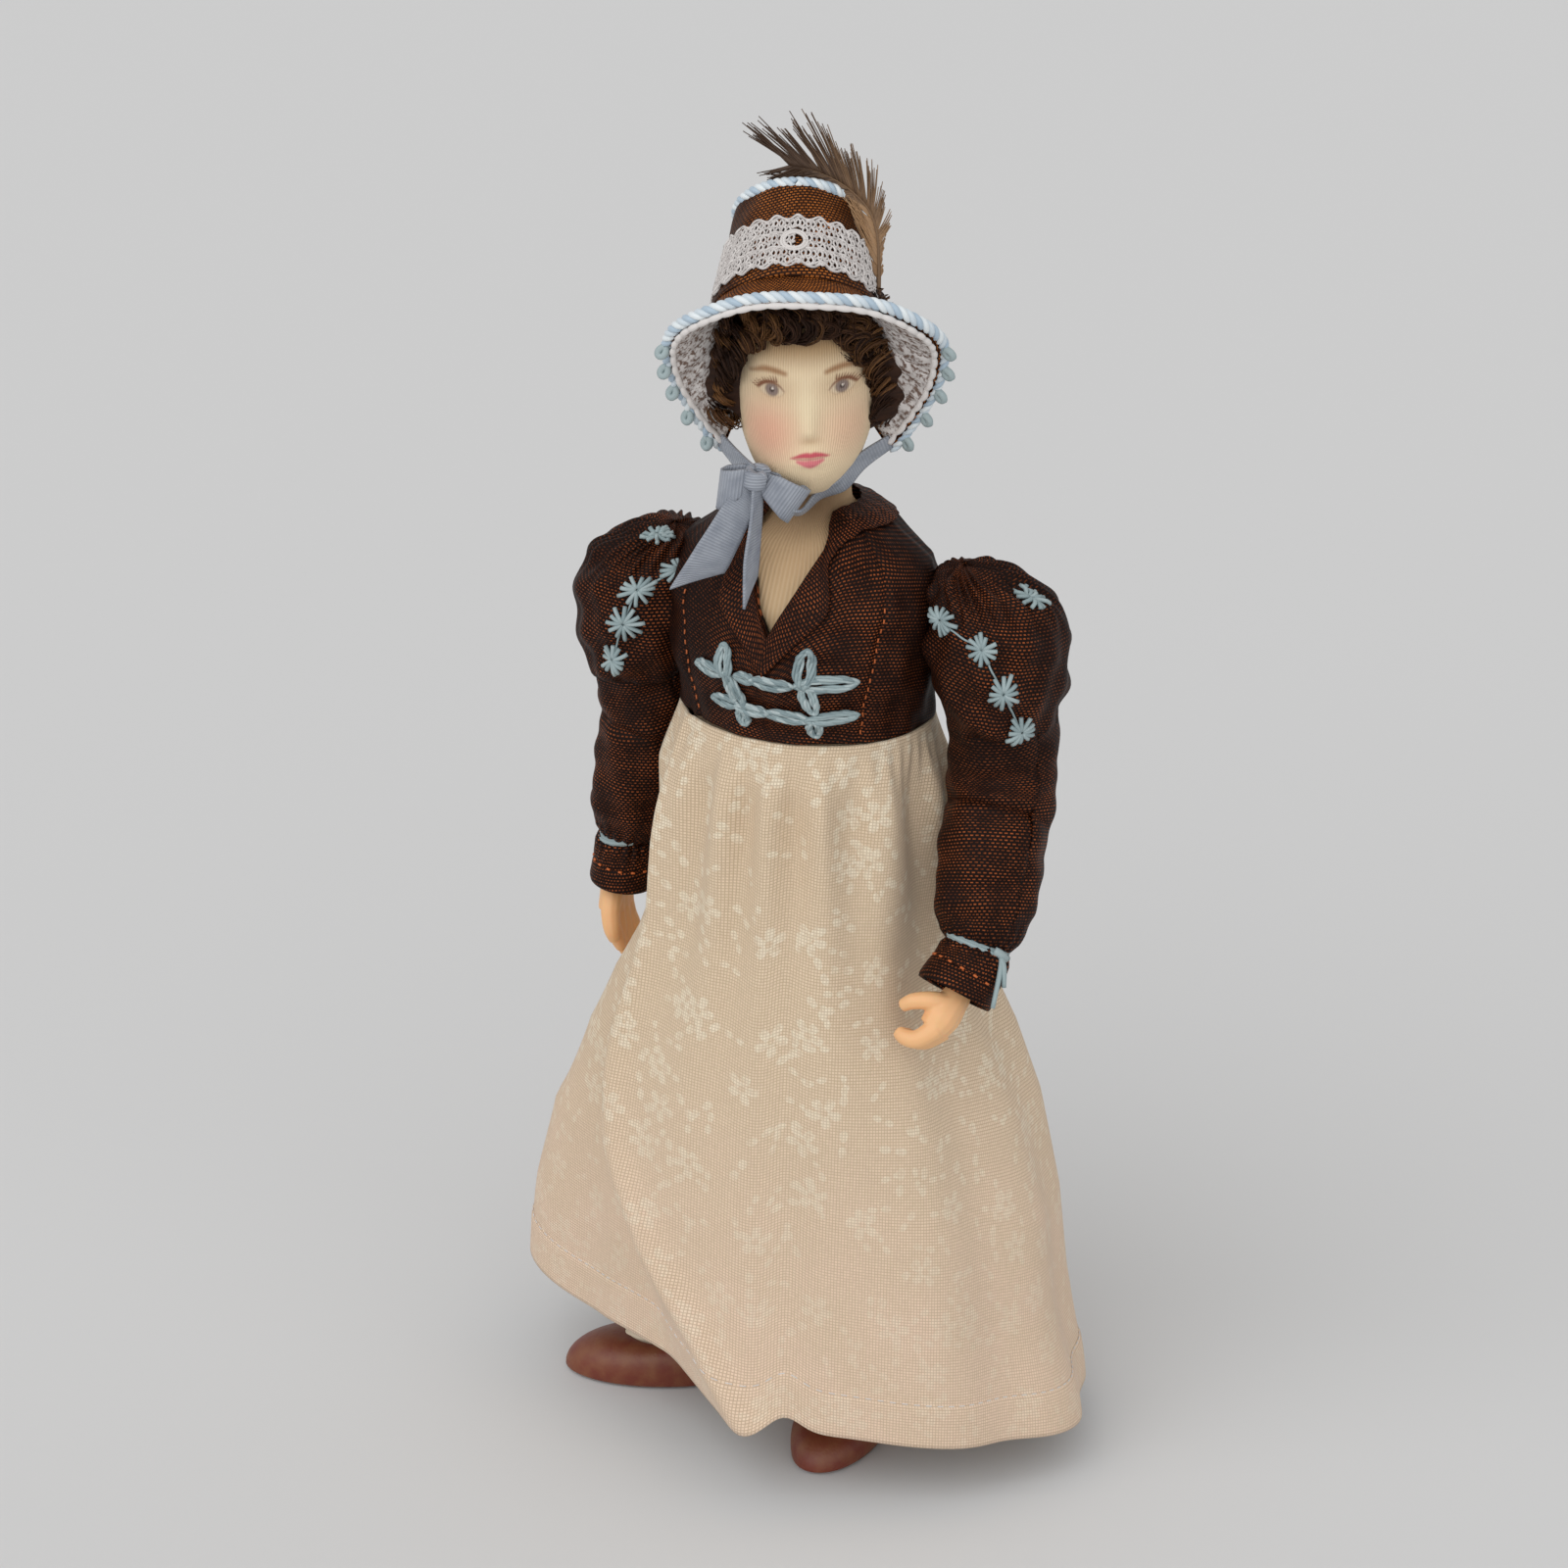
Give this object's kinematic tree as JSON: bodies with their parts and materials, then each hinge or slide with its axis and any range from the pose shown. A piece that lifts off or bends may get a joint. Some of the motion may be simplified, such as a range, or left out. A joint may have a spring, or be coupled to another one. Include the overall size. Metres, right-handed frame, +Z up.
{
  "type": "miniature doll",
  "caption": "Standing miniature lady doll on a wire armature, in a silk jacket with puffed sleeves, a printed skirt and a feathered bonnet.",
  "frame": {"origin": "floor point under the middle of the skirt's hem", "axes": "+Z up, the doll faces -Y, its left hand is on +X"},
  "size_m": [0.0624, 0.0417, 0.1383],
  "materials": {
    "knit_skin": "fine ribbed knit over stuffing",
    "armature_wire": "soft bright wire",
    "shot_silk": "dark brown shot silk with copper threads",
    "bonnet_silk": "copper brown shot silk",
    "printed_cotton": "cream cotton with a pale sprig print",
    "satin_cord": "pale blue satin cord and floss",
    "ribbon": "slate blue silk ribbon",
    "hair": "curled brown fibre",
    "feather": "brown feather",
    "lace": "white lace",
    "clay": "smooth modelled clay",
    "slipper_leather": "matt red brown leather",
    "stocking": "white knit stocking"
  },
  "bodies": {
    "torso": {"torso_stuffing": "knit_skin", "spine_wire": "armature_wire", "jacket_body": "shot_silk", "jacket_collar": "shot_silk", "frog_upper": "satin_cord", "frog_lower": "satin_cord", "skirt": "printed_cotton", "skirt_waistband": "printed_cotton"},
    "neck": {"neck_stuffing": "knit_skin", "neck_wire": "armature_wire"},
    "head": {"head_stuffing": "knit_skin", "wig": "hair", "bonnet_crown": "bonnet_silk", "bonnet_crown_top": "bonnet_silk", "bonnet_brim": "bonnet_silk", "brim_lining": "lace", "brim_cord": "satin_cord", "picot_drops": "satin_cord", "crown_cord": "satin_cord", "lace_band": "lace", "feather": "feather", "ribbon_tie_left": "ribbon", "ribbon_tie_right": "ribbon", "bow_knot": "ribbon", "bow_loops": "ribbon", "bow_tails": "ribbon"},
    "upper_arm_left": {"upper_arm_stuffing_left": "knit_skin", "upper_arm_wire_left": "armature_wire", "puff_sleeve_left": "shot_silk", "upper_sleeve_left": "shot_silk", "star_stitches_left": "satin_cord"},
    "forearm_left": {"forearm_stuffing_left": "knit_skin", "forearm_wire_left": "armature_wire", "lower_sleeve_left": "shot_silk", "cuff_tie_left": "satin_cord"},
    "hand_left": {"hand_left": "clay"},
    "upper_arm_right": {"upper_arm_stuffing_right": "knit_skin", "upper_arm_wire_right": "armature_wire", "puff_sleeve_right": "shot_silk", "upper_sleeve_right": "shot_silk", "star_stitches_right": "satin_cord"},
    "forearm_right": {"forearm_stuffing_right": "knit_skin", "forearm_wire_right": "armature_wire", "lower_sleeve_right": "shot_silk", "cuff_tie_right": "satin_cord"},
    "hand_right": {"hand_right": "clay"},
    "thigh_left": {"thigh_stuffing_left": "knit_skin", "thigh_wire_left": "armature_wire"},
    "shin_left": {"shin_stocking_left": "stocking", "shin_wire_left": "armature_wire", "slipper_left": "slipper_leather"},
    "thigh_right": {"thigh_stuffing_right": "knit_skin", "thigh_wire_right": "armature_wire"},
    "shin_right": {"shin_stocking_right": "stocking", "shin_wire_right": "armature_wire", "slipper_right": "slipper_leather"}
  },
  "joints": [
    {"name": "neck_turn", "type": "hinge", "parent": "torso", "child": "neck", "pos_m": [0, 0.0015, 0.103], "axis": [0, 0, 1], "range_deg": [-15, 15]},
    {"name": "head_nod", "type": "hinge", "parent": "neck", "child": "head", "pos_m": [0, 0.0015, 0.106], "axis": [0.9397, 0.342, 0], "range_deg": [-8, 4]},
    {"name": "shoulder_left", "type": "hinge", "parent": "torso", "child": "upper_arm_left", "pos_m": [0.0203, 0.0005, 0.092], "axis": [-1, 0, 0], "range_deg": [0, 70]},
    {"name": "elbow_left", "type": "hinge", "parent": "upper_arm_left", "child": "forearm_left", "pos_m": [0.0203, 0.0005, 0.073], "axis": [-1, 0, 0], "range_deg": [-8, 50]},
    {"name": "wrist_left", "type": "hinge", "parent": "forearm_left", "child": "hand_left", "pos_m": [0.02094, -0.00842, 0.05692], "axis": [0.0349, -0.4845, -0.8741], "range_deg": [-35, 35]},
    {"name": "shoulder_right", "type": "hinge", "parent": "torso", "child": "upper_arm_right", "pos_m": [-0.0203, 0.0005, 0.092], "axis": [-1, 0, 0], "range_deg": [0, 75]},
    {"name": "elbow_right", "type": "hinge", "parent": "upper_arm_right", "child": "forearm_right", "pos_m": [-0.0203, 0.00216, 0.07307], "axis": [-1, 0, 0], "range_deg": [0, 75]},
    {"name": "wrist_right", "type": "hinge", "parent": "forearm_right", "child": "hand_right", "pos_m": [-0.02302, 0.00279, 0.05489], "axis": [-0.1478, 0.0345, -0.9884], "range_deg": [-35, 35]},
    {"name": "hip_left", "type": "hinge", "parent": "torso", "child": "thigh_left", "pos_m": [0.0064, 0.0005, 0.06], "axis": [-1, 0, 0], "range_deg": [-6, 8]},
    {"name": "knee_left", "type": "hinge", "parent": "thigh_left", "child": "shin_left", "pos_m": [0.0064, 0.0005, 0.0325], "axis": [1, 0, 0], "range_deg": [0, 15]},
    {"name": "hip_right", "type": "hinge", "parent": "torso", "child": "thigh_right", "pos_m": [-0.0064, 0.0005, 0.06], "axis": [-1, 0, 0], "range_deg": [-6, 8]},
    {"name": "knee_right", "type": "hinge", "parent": "thigh_right", "child": "shin_right", "pos_m": [-0.0088, 0.0005, 0.03261], "axis": [1, 0, 0], "range_deg": [0, 15]}
  ]
}
